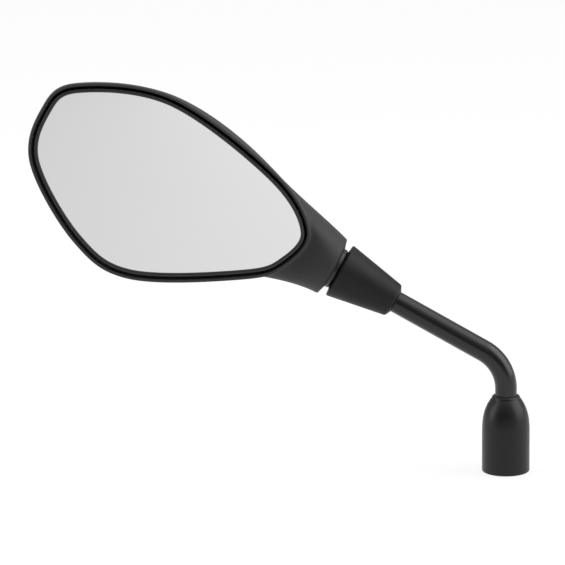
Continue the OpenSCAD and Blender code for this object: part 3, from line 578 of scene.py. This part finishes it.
# Chrome on glass is smooth and almost colourless, so it shows the pale room plainly.
chromed_glass = surface_finish("chromed_convex_glass", "#e2e2e2", "#dfdfdf", 0.035, 40.0, 0.0, patch=60.0,
                               spread=0.005, Metallic=1.0)
glass = piece_of_rings("mirror_glass_chromed", glass_rings(), False, chromed_glass, "head")
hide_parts("mirror_glass")
# Adhesive foam is a dull mid grey with open cells.
pad_foam = surface_finish("grey_adhesive_foam", "#3b3b3b", "#333333", 0.9, 0.6, 0.05, patch=4.0)
dress("glass_pad", pad_foam)


# ---- Studio ----
# A pale floor under the boot, a large softbox overhead and one at either side, and a white room.
# Toward the camera the room is darker, so round black parts keep a dark streak down their middle.

floor_level, floor_half = float(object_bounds()[0].z) - 0.0003, 4.0
white = linear_colour("#ffffff")
floor_mesh = bpy.data.meshes.new("floor")
floor_mesh.from_pydata([(-floor_half, -floor_half, floor_level), (floor_half, -floor_half, floor_level),
                        (floor_half, floor_half, floor_level), (-floor_half, floor_half, floor_level)],
                       [], [(0, 1, 2, 3)])
floor = bpy.data.objects.new("floor", floor_mesh)
bpy.context.scene.collection.objects.link(floor)

# The paper is matt for the lamps. The camera and gloss see mostly a plain white glow, and to gloss that glow
# carries a painted light falloff: a little greyer on the left and lighter far in front, as the photograph's glass
# shows.
seen_share, mirrored_share = 0.86, 0.85
paper = bpy.data.materials.new("pale_paper")
paper.use_nodes = True
tree = paper.node_tree
tree.nodes.clear()
ray = add_node(tree, "ShaderNodeLightPath")
matt = add_node(tree, "ShaderNodeBsdfDiffuse", {"Color": linear_colour("#f4f4f4")})
place = add_node(tree, "ShaderNodeTexCoord").outputs["Object"]
across = add_node(tree, "ShaderNodeSeparateXYZ", None, {0: place})
# Painted light falloff: the glow that gloss sees is dimmer to the left and brighter far in front.
painted_falloff_aside = add_node(tree, "ShaderNodeMapRange", {"From Min": -0.45, "From Max": 0.1, "To Min": 0.777, "To Max": 1.077},
                 {"Value": across.outputs["X"]})
painted_falloff_away = add_node(tree, "ShaderNodeMapRange", {"From Min": -0.3, "From Max": -1.1, "To Min": 0.97, "To Max": 1.06},
                {"Value": across.outputs["Y"]})
painted_falloff = add_node(tree, "ShaderNodeMath", None, {0: painted_falloff_aside.outputs["Result"], 1: painted_falloff_away.outputs["Result"]},
               operation="MULTIPLY")
bright = add_node(tree, "ShaderNodeMix", {3: 1.0}, {0: ray.outputs["Is Camera Ray"], 2: painted_falloff.outputs[0]},
                  data_type="FLOAT")
plain = add_node(tree, "ShaderNodeEmission", {"Color": white}, {"Strength": bright.outputs[0]})
seen = add_node(tree, "ShaderNodeMath", {1: seen_share}, {0: ray.outputs["Is Camera Ray"]}, operation="MULTIPLY")
mirrored = add_node(tree, "ShaderNodeMath", {1: mirrored_share}, {0: ray.outputs["Is Glossy Ray"]},
                    operation="MULTIPLY")
share = add_node(tree, "ShaderNodeMath", None, {0: seen.outputs[0], 1: mirrored.outputs[0]}, operation="MAXIMUM")
mixed = add_node(tree, "ShaderNodeMixShader", None,
                 {0: share.outputs[0], 1: matt.outputs[0], 2: plain.outputs[0]})
add_node(tree, "ShaderNodeOutputMaterial", None, {"Surface": mixed.outputs[0]})
floor_mesh.materials.append(paper)

# The room is white to the camera. To light and gloss it is a dim wall in front, a lighter one behind, and a
# ceiling that brightens upwards.
world = bpy.data.worlds.new("white_room")
bpy.context.scene.world = world
world.use_nodes = True
tree = world.node_tree
tree.nodes.clear()
ray = add_node(tree, "ShaderNodeLightPath")
direction = add_node(tree, "ShaderNodeTexCoord").outputs["Generated"]
parts = add_node(tree, "ShaderNodeSeparateXYZ", None, {0: direction})
behind = add_node(tree, "ShaderNodeMapRange", {"From Min": -1.0, "From Max": 0.3, "To Min": 0.16, "To Max": 0.4},
                  {"Value": parts.outputs["Y"]}, interpolation_type="SMOOTHSTEP")
ceiling = add_node(tree, "ShaderNodeMapRange", {"From Min": 0.2, "From Max": 0.75, "To Min": 0.0, "To Max": 0.3},
                   {"Value": parts.outputs["Z"]}, interpolation_type="SMOOTHSTEP")
room = add_node(tree, "ShaderNodeMath", None, {0: behind.outputs["Result"], 1: ceiling.outputs["Result"]})
level = add_node(tree, "ShaderNodeMix", {3: 1.0}, {0: ray.outputs["Is Camera Ray"], 2: room.outputs[0]},
                 data_type="FLOAT")
light = add_node(tree, "ShaderNodeBackground", {"Color": white}, {"Strength": level.outputs[0]})
add_node(tree, "ShaderNodeOutputWorld", None, {"Surface": light.outputs[0]})


def softbox(name, place, target, width, height, power):
    """Rectangular lamp at a place in metres, its face turned to the target, its power in watts."""
    lamp = bpy.data.lights.new(name, "AREA")
    lamp.shape, lamp.size, lamp.size_y, lamp.energy = "RECTANGLE", width, height, power
    box = bpy.data.objects.new(name, lamp)
    box.location = place
    box.rotation_euler = (Vector(target) - Vector(place)).to_track_quat("-Z", "Y").to_euler()
    box.visible_camera = False
    bpy.context.scene.collection.objects.link(box)


mirror_middle = (-0.1, 0.0, 0.09)
softbox("softbox_overhead", (-0.05, 0.1, 1.2), mirror_middle, 2.0, 1.6, 10.0)
softbox("softbox_left", (-1.1, -0.15, 0.48), mirror_middle, 0.7, 0.9, 5.0)
softbox("softbox_right", (1.0, -0.1, 0.62), mirror_middle, 1.2, 1.1, 10.0)


# ---- Camera ----
# The photograph's view: level with the rider, looking 15 degrees down, from so far that lines stay parallel.
# One picture element is 0.565 mm wide there, and the frame's middle lies on this point of the mirror.

element, elements, lens, sensor, look_down = 0.565, 565, 1000.0, 36.0, np.radians(15)
aim = Vector((-0.12650, 0.0, 0.0883))
camera_data = bpy.data.cameras.new("camera")
camera_data.lens, camera_data.sensor_width = lens, sensor
camera = bpy.data.objects.new("camera", camera_data)
backwards = Vector((0, -float(np.cos(look_down)), float(np.sin(look_down))))
camera.location = aim + backwards * (element * elements * MM * lens / sensor)
camera.rotation_euler = (-backwards).to_track_quat("-Z", "Y").to_euler()
bpy.context.scene.collection.objects.link(camera)
bpy.context.scene.camera = camera
bpy.context.scene.view_settings.view_transform = "Standard"
